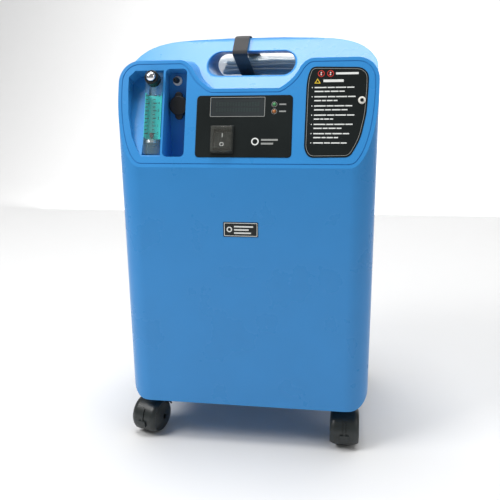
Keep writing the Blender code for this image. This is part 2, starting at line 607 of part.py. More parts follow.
# --- back --------------------------------------------------------------------------
def back_fittings():
    door = box("door", (-70, 70), (REAR_Y - 1.9, REAR_Y - 0.1), (330, 448))
    slots = [box("slot", (-56, 56), (REAR_Y - 9, REAR_Y + 9), (340 + 9 * i, 343.5 + 9 * i))
             for i in range(10)]
    slots.append(box("finger", (-18, 18), (REAR_Y - 0.9, REAR_Y + 9), (434, 443)))
    cut(door, *slots)
    finish(door, "intake_cover", "blue", pivot=(0, REAR_Y - 1, 330))
    finish(box("foam", (-59.5, 59.5), (REAR_Y - 14, REAR_Y - 3.4), (345.5, 454.5)), "intake_filter",
           "foam")
    grille = box("grille", (-62.6, 62.6), (REAR_Y - 0.9, REAR_Y + 1.68), (88.4, 213.6))
    fuse(grille, lathe("rim", [(54.6, -6), (54.6, -0.5)], axis_frame((0, REAR_Y, 151), (0, 1, 0)), 28))
    cut(grille, lathe("in", [(52.4, -9), (52.4, -1.6)], axis_frame((0, REAR_Y, 151), (0, 1, 0)), 28))
    for i in range(11):
        z = 105 + 9 * i
        half = math.sqrt(max(49.0 ** 2 - (abs(z + 2.2 - 151) + 2.2) ** 2, 100))
        cut(grille, box("slot", (-half, half), (REAR_Y - 9, REAR_Y + 5), (z, z + 4.6)))
    finish(grille, "exhaust_grille", "charcoal")
    socket = box("socket", (103.5, 132.5), (REAR_Y - 30, REAR_Y - 0.2), (109.5, 132.5))
    cut(socket, box("well", (106, 130), (REAR_Y - 16, REAR_Y + 5), (112, 130)))
    for dx, dz in ((-7, -2.0), (0, 3.0), (7, -2.0)):
        fuse(socket, box("pin", (117 + dx, 119 + dx), (REAR_Y - 18, REAR_Y - 5),
                         (119 + dz, 123 + dz)))
    finish(socket, "power_inlet", "black")


# --- inside ------------------------------------------------------------------------
def inside():
    deck = FLOOR_Z + 6.5
    pump = rod("motor", 40, (-52, -12, 152), (52, -12, 152), 28)
    for way in (-1, 1):
        near, far = sorted((way * 50, way * 86))
        fuse(pump, box("crank", (near, far), (-40, 16), (112, 190)))
        near, far = sorted((way * 54, way * 82))
        fuse(pump, rod("cylinder", 25, (way * 68, -12, 188), (way * 68, -12, 214), 20))
        fuse(pump, box("head", (way * 68 - 27, way * 68 + 27), (-39, 15), (212, 232)))
    fuse(pump, box("foot", (-92, 92), (-62, 38), (94, 99)), box("cradle", (-40, 40), (-34, 10), (98, 118)))
    finish(pump, "compressor", "alloy", smooth=True)
    for i, (x, y) in enumerate(((-82, -52), (82, -52), (-82, 28), (82, 28))):
        form = [(0, deck + 0.3), (9, deck + 0.3), (9, deck + 4), (7, 82), (9, 90), (9, 93.7), (0, 93.7)]
        mount = lathe("mount", form, Matrix.Translation((x, y, 0)), 14)
        finish(mount, f"pump_mount_{i + 1}", "black", smooth=True)
    for way, side in ((-1, "left"), (1, "right")):
        form = [(0, 84), (26, 84), (30, 90), (30, 384), (26, 390), (9, 392), (9, 402), (0, 402)]
        tower = lathe("tower", form, Matrix.Translation((way * 134, 22, 0)), 24)
        finish(tower, f"sieve_tower_{side}", "alloy", smooth=True)
    tank = lathe("tank", [(0, -84), (22, -82), (34, -70), (34, 70), (22, 82), (0, 84)],
                 axis_frame((0, 62, 290), (1, 0, 0)), 24)
    finish(tank, "product_tank", "white", smooth=True)
    block = box("manifold", (-60, 60), (-62, -22), (262, 290))
    for x in (-44, -15, 15, 44):
        fuse(block, rod("coil", 11, (x, -42, 288), (x, -42, 326), 16))
    finish(block, "valve_block", "alloy", smooth=True)
    turns, path = 3, []
    for i in range(turns * 14 + 1):
        a = 2 * math.pi * i / 14
        path.append((44 * math.cos(a), 84 + 12 * math.sin(a), 196 + 16 * i / 14))
    path = [(44, 60, 180), (44, 74, 186)] + path
    finish(pipe("coil", path, 4, 6), "cooling_coil", "copper", smooth=True)
    board = box("board", (-66, 66), (-44, -42), (350, 486))
    for x0, x1, z0, z1, d in ((-50, -20, 370, 396, 22), (-4, 24, 366, 390, 15), (34, 56, 372, 430, 18),
                              (-48, -30, 430, 460, 10), (-10, 12, 420, 450, 6)):
        fuse(board, box("chip", (x0, x1), (-43, -42 + d), (z0, z1)))
    finish(board, "control_board", "board")
    can = lathe("can", [(0, 0), (17, 0), (17, 66), (14, 68), (0, 68)],
                Matrix.Translation((-118, -78, deck + 0.3)), 20)
    finish(can, "start_capacitor", "grey", smooth=True)
    pot = lathe("pot", [(0, 0), (20, 0), (20, 92), (16, 96), (5, 96), (5, 108), (0, 108)],
                Matrix.Translation((112, -84, deck + 0.3)), 24)
    finish(pot, "intake_muffler", "charcoal", smooth=True)

    fan = axis_frame((0, 104, 151), (0, 1, 0))
    frame = box("frame", (-60, 60), (104, 128), (91.5, 211.5))
    cut(frame, lathe("duct", [(56, -9), (56, 40)], fan, 32))
    fuse(frame, lathe("seat", [(0, 1), (17, 1), (17, 3.5), (0, 3.5)], fan, 20))
    for k in range(4):
        spoke = box("spoke", (12, 58), (-2, 2), (1, 3.4), fan @ Matrix.Rotation(
            math.radians(45 + 90 * k), 4, "Z"))
        fuse(frame, spoke)
    finish(frame, "fan_frame", "black", smooth=True)
    rotor = lathe("hub", [(0, 4.2), (18, 4.2), (18, 20), (16, 22), (0, 22)], fan, 20)
    for k in range(7):
        turn = fan @ Matrix.Rotation(2 * math.pi * k / 7, 4, "Z")
        corners = [(16, -3, 6), (16, 3, 19), (52, 6, 20), (52, -9, 7.5)]
        verts = [turn @ Vector((a, b + 0.9 * w, c)) for w in (-1, 1) for a, b, c in corners]
        quads = [(0, 1, 2, 3), (4, 5, 6, 7)]
        quads += [(i, (i + 1) % 4, 4 + (i + 1) % 4, 4 + i) for i in range(4)]
        fuse(rotor, solid("blade", verts, quads))
    finish(rotor, "fan_rotor", "black", smooth=True, pivot=(0, 116, 151))


def main():
    clear_scene()
    front_shell()
    rear_shell()
    base_pan()
    control_face()
    flowmeter()
    ports()
    soft_goods()
    for place, x, y, turn in CASTORS:
        castor(place, x, y, turn, pedal=place.startswith("front"))
    back_fittings()
    inside()


main()
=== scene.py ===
"""Studio picture of a home oxygen concentrator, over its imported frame. Sizes are millimetres."""

import json
import math

import bmesh
import bpy
from mathutils import Matrix, Vector, noise


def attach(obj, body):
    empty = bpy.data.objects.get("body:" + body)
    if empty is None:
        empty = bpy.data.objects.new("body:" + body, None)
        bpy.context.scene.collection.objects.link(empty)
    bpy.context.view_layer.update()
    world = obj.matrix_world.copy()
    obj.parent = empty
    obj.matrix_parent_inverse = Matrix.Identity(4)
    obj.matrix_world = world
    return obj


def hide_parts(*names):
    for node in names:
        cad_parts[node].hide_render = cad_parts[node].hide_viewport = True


MM = 0.001
# Cabinet: half width, front and rear faces, underside, then the heights that the front turns at.
HALF_W, FRONT_Y, REAR_Y, FLOOR_Z = 175.0, -143.0, 143.0, 65.0
LIP_Z, LEAN, ISLAND_Z, SHOULDER_Z, DECK_Z = 410.0, 0.3406, 511.0, 549.0, 522.0
CORNER_R, SOLE_R, WALL = 35.0, 25.0, 3.0
HOLE_HALF, HOLE_Z0, HOLE_Z1 = 61.5, 528.5, 561.7
# On the control face, x and the distance s up it: two x limits and then two s limits.
PANEL = (-64.0, 64.0, 14.0, 97.0)
LCD = (-45.0, 27.0, 69.0, 94.0)
LEDS = ((40.0, 84.6), (40.0, 75.2))
ROCKER = (-43.8, -12.3, 18.4, 55.8)
RESET = (153.0, 89.0)
LABEL = (
    (87.6, 134.6), (152, 133), (161, 124.5), (161, 107), (159, 72), (153, 42.6),
    (147.6, 30), (139, 14.8), (87, 13.9), (80.5, 25), (81.4, 108), (82.8, 122),
)
BAY_X = (-138.0, -112.2)  # slot that holds the flowmeter
POCKET_X = (-109.4, -79.6)  # deep pocket of the outlet
OUTLET, PORT = (-98.0, 522.0), (-94.5, 488.0)  # x and z
TUBE_X, KNOB = -128.3, (-124.8, 119.0)
WHEEL_R, TRAIL, STEM_X, STEM_Y = 25.0, 20.0, 143.0, 92.0
CASTORS = (  # place, x, y and how far it has swivelled, in degrees
    ("front_right", STEM_X, -STEM_Y, 0.0),
    ("front_left", -STEM_X, -STEM_Y, -20.0),
    ("rear_right", STEM_X, STEM_Y, 162.0),
    ("rear_left", -STEM_X, STEM_Y, 197.0),
)

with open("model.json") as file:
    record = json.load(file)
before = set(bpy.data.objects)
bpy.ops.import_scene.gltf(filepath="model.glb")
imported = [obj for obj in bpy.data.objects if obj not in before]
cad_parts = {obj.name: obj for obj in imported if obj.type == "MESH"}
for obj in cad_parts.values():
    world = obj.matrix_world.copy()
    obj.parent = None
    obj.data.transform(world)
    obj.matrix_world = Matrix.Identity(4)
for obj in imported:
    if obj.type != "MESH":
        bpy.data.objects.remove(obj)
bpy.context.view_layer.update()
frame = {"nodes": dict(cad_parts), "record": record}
CHARACTER_RISE = 0.05


# --- shapes ------------------------------------------------------------------
def solid(name, verts, faces):
    """A closed mesh object from points in millimetres, with its faces turned outwards."""
    mesh = bpy.data.meshes.new(name)
    mesh.from_pydata([tuple(Vector(v) * MM) for v in verts], [], faces)
    work = bmesh.new()
    work.from_mesh(mesh)
    bmesh.ops.recalc_face_normals(work, faces=work.faces)
    work.to_mesh(mesh)
    work.free()
    obj = bpy.data.objects.new(name, mesh)
    bpy.context.scene.collection.objects.link(obj)
    return obj


AXES = {
    "x": Matrix(((0, 0, 1, 0), (1, 0, 0, 0), (0, 1, 0, 0), (0, 0, 0, 1))),
    "y": Matrix(((1, 0, 0, 0), (0, 0, 1, 0), (0, 1, 0, 0), (0, 0, 0, 1))),
    "z": Matrix.Identity(4),
}
TILT = math.atan(LEAN)
UP = Vector((0, math.sin(TILT), math.cos(TILT)))
OUT = Vector((0, -math.cos(TILT), math.sin(TILT)))
FACE = Matrix(((1, 0, 0, 0), (0, UP.y, OUT.y, FRONT_Y), (0, UP.z, OUT.z, LIP_Z), (0, 0, 0, 1)))


def prism(name, outline, low, high, where="z"):
    """The outline pushed along the third axis of a frame. x takes (y, z) points and y takes (x, z)."""
    place = AXES[where] if isinstance(where, str) else where
    n = len(outline)
    verts = [place @ Vector((a, b, c)) for c in (low, high) for a, b in outline]
    sides = [(i, (i + 1) % n, n + (i + 1) % n, n + i) for i in range(n)]
    return solid(name, verts, [tuple(range(n)), tuple(range(n, 2 * n))] + sides)


def box(name, x, y, z, where="z"):
    """A block from its two limits on each axis of the frame."""
    corners = ((x[0], y[0]), (x[1], y[0]), (x[1], y[1]), (x[0], y[1]))
    return prism(name, corners, z[0], z[1], where)


def arc(cx, cy, r, start, end, n):
    steps = [math.radians(start + (end - start) * i / n) for i in range(n + 1)]
    return [(cx + r * math.cos(a), cy + r * math.sin(a)) for a in steps]


def rounded(x0, x1, y0, y1, r, n=6):
    """Outline of a rectangle with round corners."""
    return (
        arc(x1 - r, y0 + r, r, -90, 0, n) + arc(x1 - r, y1 - r, r, 0, 90, n)
        + arc(x0 + r, y1 - r, r, 90, 180, n) + arc(x0 + r, y0 + r, r, 180, 270, n)
    )


def inset(outline, t):
    """The outline moved inwards by t on every side. A negative t moves it out."""
    if not t:
        return list(outline)
    pts = [Vector(p) for p in outline]
    area = sum(a.x * b.y - b.x * a.y for a, b in zip(pts, pts[1:] + pts[:1]))
    side = 1 if area > 0 else -1
    moved = []
    for before, here, after in zip(pts[-1:] + pts[:-1], pts, pts[1:] + pts[:1]):
        d1, d2 = (here - before).normalized(), (after - here).normalized()
        n1, n2 = Vector((-d1.y, d1.x)) * side, Vector((-d2.y, d2.x)) * side
        moved.append(tuple(here + (n1 + n2) * (t / (1 + n1.dot(n2)))))
    return moved


def smooth_line(points, n=6):
    """A closed outline through the points, with each corner rounded off."""
    pts, out = [Vector(p) for p in points], []
    for a, b, c in zip(pts[-1:] + pts[:-1], pts, pts[1:] + pts[:1]):
        p, q = b.lerp(a, min(0.45, 7 / (b - a).length)), b.lerp(c, min(0.45, 7 / (b - c).length))
        out += [tuple(p.lerp(b, t).lerp(b.lerp(q, t), t)) for t in [i / n for i in range(n + 1)]]
    return out


def axis_frame(origin, direction):
    """A frame whose third axis points along the direction."""
    turn = Vector((0, 0, 1)).rotation_difference(Vector(direction)).to_matrix().to_4x4()
    return Matrix.Translation(Vector(origin)) @ turn


def lathe(name, profile, where=None, steps=48, ring=False):
    """(radius, height) points turned round the third axis of the frame. A ring has a hole through."""
    where = where or Matrix.Identity(4)
    rows, verts, faces = [], [], []
    for r, h in profile:
        count = 1 if r < 1e-6 else steps
        rows.append([len(verts) + i for i in range(count)])
        turns = [2 * math.pi * i / steps for i in range(count)]
        verts += [where @ Vector((r * math.cos(a), r * math.sin(a), h)) for a in turns]
    pairs = list(zip(rows, rows[1:] + rows[:1])) if ring else list(zip(rows, rows[1:]))
    for low, high in pairs:
        for i in range(steps):
            j = (i + 1) % steps
            quad = [low[i % len(low)], low[j % len(low)], high[j % len(high)], high[i % len(high)]]
            quad = list(dict.fromkeys(quad))
            if len(quad) > 2:
                faces.append(tuple(quad))
    if not ring:
        faces += [tuple(row) for row in (rows[0], rows[-1]) if len(row) > 1]
    return solid(name, verts, faces)


def rod(name, r, start, end, steps=32):
    start, end = Vector(start), Vector(end)
    return lathe(name, [(r, 0), (r, (end - start).length)], axis_frame(start, end - start), steps)


def pipe(name, path, r, sides=10):
    """A round bar along a path of points, with flat ends."""
    pts, verts, faces, side = [Vector(p) for p in path], [], [], None
    for i, p in enumerate(pts):
        along = (pts[min(i + 1, len(pts) - 1)] - pts[max(i - 1, 0)]).normalized()
        side = along.orthogonal() if side is None else side - along * side.dot(along)
        side = side.normalized()
        other = along.cross(side)
        for k in range(sides):
            a = 2 * math.pi * k / sides
            verts.append(p + side * (r * math.cos(a)) + other * (r * math.sin(a)))
    for i in range(len(pts) - 1):
        for k in range(sides):
            j = (k + 1) % sides
            faces.append((i * sides + k, i * sides + j, (i + 1) * sides + j, (i + 1) * sides + k))
    last = (len(pts) - 1) * sides
    return solid(name, verts, faces + [tuple(range(sides)), tuple(range(last, last + sides))])


def combine(target, others, operation):
    """Applies one exact Boolean after another and removes the objects it used."""
    for other in others:
        step = target.modifiers.new("step", "BOOLEAN")
        step.operation, step.solver, step.object = operation, "EXACT", other
        graph = bpy.context.evaluated_depsgraph_get()
        result = bpy.data.meshes.new_from_object(target.evaluated_get(graph))
        target.modifiers.remove(step)
        target.data = result
        bpy.data.objects.remove(other, do_unlink=True)
    return target


def cut(target, *others):
    return combine(target, others, "DIFFERENCE")


def fuse(target, *others):
    return combine(target, others, "UNION")


def common(target, *others):
    return combine(target, others, "INTERSECT")


def fillet(obj, width, segments=4, least=30.0, pick=None):
    """Rounds the edges sharper than `least` degrees whose middle, in millimetres, is picked."""
    work = bmesh.new()
    work.from_mesh(obj.data)
    bmesh.ops.remove_doubles(work, verts=work.verts, dist=2e-6)
    bmesh.ops.dissolve_limit(work, angle_limit=0.002, verts=work.verts, edges=work.edges)
    chosen = []
    for edge in work.edges:
        if len(edge.link_faces) != 2 or math.degrees(edge.calc_face_angle(0)) < least:
            continue
        middle = (edge.verts[0].co + edge.verts[1].co) / (2 * MM)
        if pick is None or pick(middle):
            chosen.append(edge)
    bmesh.ops.bevel(work, geom=chosen, offset=width * MM, offset_type="OFFSET", segments=segments,
                    affect="EDGES", profile=0.5, clamp_overlap=True, loop_slide=True)
    bmesh.ops.remove_doubles(work, verts=work.verts, dist=2e-6)
    work.to_mesh(obj.data)
    work.free()
    return obj


def shade(obj, angle=35.0):
    """Smooth faces, split at sharp edges, with wide flat faces kept flat."""
    obj.data.shade_smooth()
    obj.data.set_sharp_from_angle(angle=math.radians(angle))
    weigh = obj.modifiers.new("weighted", "WEIGHTED_NORMAL")
    weigh.keep_sharp, weigh.weight = True, 90
    return obj


def move(obj, where):
    """Carries the mesh to a frame given in millimetres."""
    shift = where.copy()
    shift.translation = where.translation * MM
    obj.data.transform(shift)
    return obj


def text(name, words, size, where):
    """Raised characters in the built-in typeface, as a mesh."""
    curve = bpy.data.curves.new(name, "FONT")
    curve.body, curve.size, curve.align_x, curve.align_y = words, size * MM, "CENTER", "CENTER"
    curve.extrude = CHARACTER_RISE * MM
    obj = bpy.data.objects.new(name, curve)
    bpy.context.scene.collection.objects.link(obj)
    graph = bpy.context.evaluated_depsgraph_get()
    mesh = bpy.data.meshes.new_from_object(obj.evaluated_get(graph))
    bpy.data.objects.remove(obj, do_unlink=True)
    made = bpy.data.objects.new(name, mesh)
    bpy.context.scene.collection.objects.link(made)
    return move(made, where)


def join(name, objs):
    """One object from several, each kept as its own closed shape."""
    work = bmesh.new()
    for obj in objs:
        work.from_mesh(obj.data)
        bpy.data.objects.remove(obj, do_unlink=True)
    mesh = bpy.data.meshes.new(name)
    work.to_mesh(mesh)
    work.free()
    made = bpy.data.objects.new(name, mesh)
    bpy.context.scene.collection.objects.link(made)
    return made


# --- materials ----------------------------------------------------------------
def material(name, colour, rough, metallic=0.0, grain=0.0, scale=900.0, mottle=0.06, **sockets):
    """A Principled surface whose colour and roughness vary a little, with an optional fine grain."""
    made = bpy.data.materials.new(name)
    made.use_nodes = True
    nodes, links = made.node_tree.nodes, made.node_tree.links
    shader = nodes["Principled BSDF"]
    place = nodes.new("ShaderNodeTexCoord")
    cloud = nodes.new("ShaderNodeTexNoise")
    cloud.inputs["Scale"].default_value = 14.0
    cloud.inputs["Detail"].default_value = 5.0
    links.new(place.outputs["Object"], cloud.inputs["Vector"])
    tint = nodes.new("ShaderNodeValToRGB")
    tint.color_ramp.elements[0].position, tint.color_ramp.elements[1].position = 0.3, 0.7
    tint.color_ramp.elements[0].color = (*[c * (1 - mottle) for c in colour], 1)
    tint.color_ramp.elements[1].color = (*[min(1, c * (1 + mottle)) for c in colour], 1)
    links.new(cloud.outputs["Fac"], tint.inputs["Fac"])
    links.new(tint.outputs["Color"], shader.inputs["Base Color"])
    gloss = nodes.new("ShaderNodeMapRange")
    gloss.inputs["To Min"].default_value = max(0.02, rough * 0.85)
    gloss.inputs["To Max"].default_value = min(1.0, rough * 1.15)
    links.new(cloud.outputs["Fac"], gloss.inputs["Value"])
    links.new(gloss.outputs["Result"], shader.inputs["Roughness"])
    shader.inputs["Metallic"].default_value = metallic
    for socket, value in sockets.items():
        shader.inputs[socket.replace("_", " ")].default_value = value
    if grain:
        fine = nodes.new("ShaderNodeTexNoise")
        fine.inputs["Scale"].default_value = scale
        fine.inputs["Detail"].default_value = 2.0
        links.new(place.outputs["Object"], fine.inputs["Vector"])
        bump = nodes.new("ShaderNodeBump")
        bump.inputs["Strength"].default_value = grain
        bump.inputs["Distance"].default_value = 0.0002
        links.new(fine.outputs["Fac"], bump.inputs["Height"])
        links.new(bump.outputs["Normal"], shader.inputs["Normal"])
    return made


def weave(name, colour):
    """Looped webbing: crossed ribs with fuzz."""
    made = material(name, colour, 0.85, mottle=0.3, Sheen_Weight=0.35)
    nodes, links = made.node_tree.nodes, made.node_tree.links
    place = nodes.new("ShaderNodeTexCoord")
    ribs = nodes.new("ShaderNodeTexWave")
    ribs.inputs["Scale"].default_value = 420.0
    ribs.inputs["Distortion"].default_value = 2.0
    ribs.inputs["Detail"].default_value = 3.0
    fuzz = nodes.new("ShaderNodeTexNoise")
    fuzz.inputs["Scale"].default_value = 1500.0
    both = nodes.new("ShaderNodeMath")
    both.operation = "ADD"
    bump = nodes.new("ShaderNodeBump")
    bump.inputs["Strength"].default_value = 0.7
    bump.inputs["Distance"].default_value = 0.0006
    links.new(place.outputs["Object"], ribs.inputs["Vector"])
    links.new(place.outputs["Object"], fuzz.inputs["Vector"])
    links.new(ribs.outputs["Fac"], both.inputs[0])
    links.new(fuzz.outputs["Fac"], both.inputs[1])
    links.new(both.outputs["Value"], bump.inputs["Height"])
    links.new(bump.outputs["Normal"], nodes["Principled BSDF"].inputs["Normal"])
    return made


def film(name, colour, alpha):
    """Thin crumpled plastic film, part see-through, with sharp little creases."""
    made = material(name, colour, 0.14, Alpha=alpha, Coat_Weight=0.6)
    nodes, links = made.node_tree.nodes, made.node_tree.links
    place = nodes.new("ShaderNodeTexCoord")
    folds = nodes.new("ShaderNodeTexVoronoi")
    folds.feature = "DISTANCE_TO_EDGE"
    folds.inputs["Scale"].default_value = 55.0
    bump = nodes.new("ShaderNodeBump")
    bump.inputs["Strength"].default_value = 0.8
    bump.inputs["Distance"].default_value = 0.004
    links.new(place.outputs["Object"], folds.inputs["Vector"])
    links.new(folds.outputs["Distance"], bump.inputs["Height"])
    links.new(bump.outputs["Normal"], nodes["Principled BSDF"].inputs["Normal"])
    return made


LOOKS = {
    "shell_blue": material("blue_abs", (0.034, 0.242, 0.58), 0.28, grain=0.25, scale=700, mottle=0.03,
                           Specular_IOR_Level=0.36),
    "panel_black": material("black_film", (0.010, 0.013, 0.013), 0.20, grain=0.08, mottle=0.2,
                            Specular_IOR_Level=0.3),
    "castor_black": material("castor_nylon", (0.016, 0.021, 0.021), 0.38, grain=0.2, mottle=0.2),
    "tread_grey": material("tread_rubber", (0.12, 0.125, 0.11), 0.7, grain=0.3, mottle=0.15),
    "rubber_black": material("black_rubber", (0.010, 0.010, 0.010), 0.42, grain=0.3, mottle=0.2),
    "display_smoke": material("display_glass", (0.030, 0.036, 0.038), 0.16, mottle=0.1,
                              Specular_IOR_Level=0.35),
    "led_green": material("led_green", (0.05, 0.22, 0.08), 0.15, mottle=0.1),
    "led_amber": material("led_amber", (0.35, 0.12, 0.03), 0.15, mottle=0.1),
    "clear_silicone": material("clear_silicone", (0.16, 0.16, 0.14), 0.12, mottle=0.05,
                               Alpha=0.14, Coat_Weight=0.25),
    "clear_acrylic": material("clear_acrylic", (0.62, 0.90, 0.88), 0.05, mottle=0.02,
                              Alpha=0.06, Coat_Weight=0.12, Coat_Roughness=0.05),
    "scale_teal": material("scale_teal", (0.0, 0.62, 0.60), 0.35, mottle=0.08),
    "steel": material("plated_steel", (0.55, 0.56, 0.58), 0.3, 1.0, mottle=0.08),
    "float_red": material("float_glass", (0.09, 0.015, 0.02), 0.2, mottle=0.1),
    "chrome": material("bright_cap", (0.86, 0.86, 0.88), 0.12, 1.0, mottle=0.03),
    "white_plastic": material("white_abs", (0.78, 0.76, 0.70), 0.32, grain=0.1, mottle=0.03),
    "grey_plastic": material("grey_abs", (0.3, 0.31, 0.32), 0.45, grain=0.2, mottle=0.06),
    "webbing": weave("hook_loop_web", (0.012, 0.012, 0.014)),
    "clear_film": film("bag_film", (0.17, 0.27, 0.34), 0.42),
    "foam": material("filter_foam", (0.02, 0.02, 0.024), 0.95, grain=1.0, scale=500, mottle=0.4),
    "cast_alloy": material("cast_alloy", (0.58, 0.59, 0.6), 0.42, 1.0, grain=0.4, mottle=0.08),
    "copper": material("copper_pipe", (0.72, 0.36, 0.2), 0.25, 1.0, mottle=0.1),
    "circuit_board": material("solder_mask", (0.01, 0.13, 0.05), 0.35, mottle=0.15),
    "print_white": material("white_ink", (0.72, 0.74, 0.72), 0.4, mottle=0.04),
    "print_grey": material("grey_ink", (0.28, 0.29, 0.28), 0.4, mottle=0.06),
    "print_black": material("black_ink", (0.01, 0.02, 0.02), 0.4, mottle=0.2),
    "print_red": material("red_ink", (0.55, 0.03, 0.02), 0.4, mottle=0.08),
    "print_yellow": material("yellow_ink", (0.75, 0.52, 0.03), 0.4, mottle=0.06),
    "tube_clear": material("vinyl_tube", (0.30, 0.37, 0.42), 0.16, mottle=0.12, Alpha=0.7),
    "carton_white": material("white_card", (0.7, 0.7, 0.68), 0.6, mottle=0.05),
}
for entry in frame["record"]["subparts"]:
    node = frame["nodes"][entry["node"]]
    node.data.materials.clear()
    node.data.materials.append(LOOKS[entry["material_slot"]])


def show(obj, name, look, body, *nodes, angle=35.0, weighted=True):
    """Names a finished piece, paints it and lets it ride its CAD body, in place of the CAD nodes."""
    obj.name = obj.data.name = name
    obj.data.materials.clear()
    obj.data.materials.append(LOOKS[look])
    if weighted:
        shade(obj, angle)
    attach(obj, body)
    if nodes:
        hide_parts(*nodes)
    return obj


# --- cabinet --------------------------------------------------------------------
def arch_outline(t):
    """(x, z) outline of the cabinet seen from the front, moved in by t."""
    crown = [(0, 583), (30, 582.8), (60, 582), (90, 580.8), (112, 579.3), (124, 577.8), (134, 575.6),
             (142.5, 573.2), (150, 570), (156, 566.9), (161, 563), (165.4, 559.1), (169, 554.5),
             (171.8, 550.6), (173.6, 547), (174.7, 542.6), (175, 538)]
    right = crown + arc(HALF_W - SOLE_R, FLOOR_Z + SOLE_R, SOLE_R, 0, -90, 10)
    return inset(right + [(-x, z) for x, z in reversed(right) if x > 0], t)


def plan_outline(t, back):
    """(x, y) outline of one half of the cabinet from above, as far as the seam at y = back."""
    y = FRONT_Y if back >= 0 else REAR_Y
    way = 1 if y < 0 else -1
    corner = arc(HALF_W - CORNER_R, 0, CORNER_R, -90, 0, 14)
    right = [(x, y + way * (CORNER_R + dy)) for x, dy in corner] + [(HALF_W, back)]
    return inset([(-x, yy) for x, yy in reversed(right)] + right, t)


# From a shoulder down to the island between the shoulders, as x and z.
DIP = [(89, 549), (84.5, 548.0), (80, 545.6), (76, 542), (73, 538.6), (70.6, 534.6), (68, 530.4),
       (65, 526.4), (61.5, 522.6), (58, 519.4), (54, 516.4), (49.6, 513.4), (45, ISLAND_Z)]


def front_solid(t, back):
    """The front half as a full body, its outside moved in by t."""
    top = FRONT_Y + LEAN * (ISLAND_Z - LIP_Z)
    core = [(back, FLOOR_Z), (FRONT_Y, FLOOR_Z), (FRONT_Y, LIP_Z), (top, ISLAND_Z),
            (-90, ISLAND_Z), (-15, 571.8), (-11.5, 574.7), (-8.4, 577.2), (-5.4, 579.4),
            (-2.6, 581.0), (0, 582), (back + 0.01, 582.5)]
    ledge = FRONT_Y + LEAN * (SHOULDER_Z - LIP_Z)
    flank = [(back, FLOOR_Z), (FRONT_Y, FLOOR_Z), (FRONT_Y, LIP_Z), (ledge, SHOULDER_Z),
             (back, SHOULDER_Z)]
    half = [(HALF_W, 40)] + arc(147, 521, 28, 0, 90, 12) + DIP
    shoulders = half + [(-x, z) for x, z in reversed(half)]
    body = prism("core", inset(core, t), -190, 190, "x")
    sides = prism("flank", inset(flank, t), -189, 189, "x")
    common(sides, prism("shoulders", inset(shoulders, t), -199, back + 1, "y"))
    fuse(body, sides)
    common(body, prism("arch", arch_outline(t), -200, back + 2, "y"))
    return common(body, prism("plan", plan_outline(t, back + 3), 0, 700))


def rear_solid(t, back):
    """The rear half as a full body, its outside moved in by t."""
    bar = [(back, 400), (back, 582.2), (0, 582), (3, 582.8), (6, 583), (10, 582.7), (13.5, 581.8),
           (16.6, 580.2), (19.2, 578), (21.4, 575.2), (23, 572), (31, DECK_Z + 5), (36, DECK_Z),
           (38, 400)]
    bar = [p for p in bar if p[0] >= back]
    trunk = [(HALF_W, 40)] + arc(HALF_W - 26, DECK_Z - 26, 26, 0, 90, 10)
    trunk = trunk + [(-x, z) for x, z in reversed(trunk)]
    side = [(back, FLOOR_Z), (REAR_Y, FLOOR_Z)] + arc(REAR_Y - 22, DECK_Z - 22, 22, 0, 90, 10)
    body = prism("trunk", inset(side + [(back, DECK_Z)], t), -190, 190, "x")
    common(body, prism("deck", inset(trunk, t), back - 1, 199, "y"))
    fuse(body, prism("bar", inset(bar, t), -189, 189, "x"))
    common(body, prism("arch", arch_outline(t), back - 2, 200, "y"))
    return common(body, prism("plan", plan_outline(t, back - 3), 0, 700))


def hole(t, low, high):
    """The hand hole under the handle bar, its wall moved out by t."""
    r, mid = (HOLE_Z1 - HOLE_Z0) / 2, (HOLE_Z0 + HOLE_Z1) / 2
    slot = arc(HOLE_HALF - r, mid, r, -90, 90, 18) + arc(-HOLE_HALF + r, mid, r, 90, 270, 18)
    return prism("hole", inset(slot, -t), low, high, "y")


SIDEWAYS = AXES["x"]


def recesses(t):
    """What is scooped out of the left of the control face, each wall moved out by t."""
    bay_edge = [(-x, s) for x, s in LABEL[1:8]]
    bay_edge += [(BAY_X[1], 14.8), (BAY_X[1], 133)]
    ramp = prism("ramp", inset(bay_edge, -t), -60, 30 + t, FACE)
    wedge = [(14 - t, 40), (14 - t, -t), (134.6 + t, -25 - t), (140, -25 - t), (140, 40)]
    common(ramp, prism("wedge", wedge, -190, 0, FACE @ SIDEWAYS))
    bay = box("bay", (BAY_X[0] - t, BAY_X[1] + t), (16.5 - t, 132 + t), (-24.5 - t, 41), FACE)
    outline = rounded(POCKET_X[0] - t, POCKET_X[1] + t, 14.5 - t, 135 + t, 6 + t)
    pocket = prism("pocket", outline, -90, 42, FACE)
    back = [(-78 + t, 560), (-92 + t, 405), (-190, 405), (-190, 560)]
    common(pocket, prism("back", back, -190, 0, "x"))
    return [ramp, bay, pocket]


def pocket_frame(x, z):
    """A frame square to the back wall of the outlet pocket."""
    rise = Vector((0, 14, 155)).normalized()
    return axis_frame((x, -78 - 14 * (560 - z) / 155, z), (0, -rise.z, rise.y))


def on_face(x, s, n=0.0):
    """A frame on the control face, raised n off it."""
    return FACE @ Matrix.Translation((x, s, n))


def behind_face(p):
    """How far a point lies behind the control face, measured along y."""
    return (p.y - FRONT_Y) - LEAN * (p.z - LIP_Z)


def in_bay(p):
    return p.x < -78 and p.z > 422 and -141 < p.y < -60


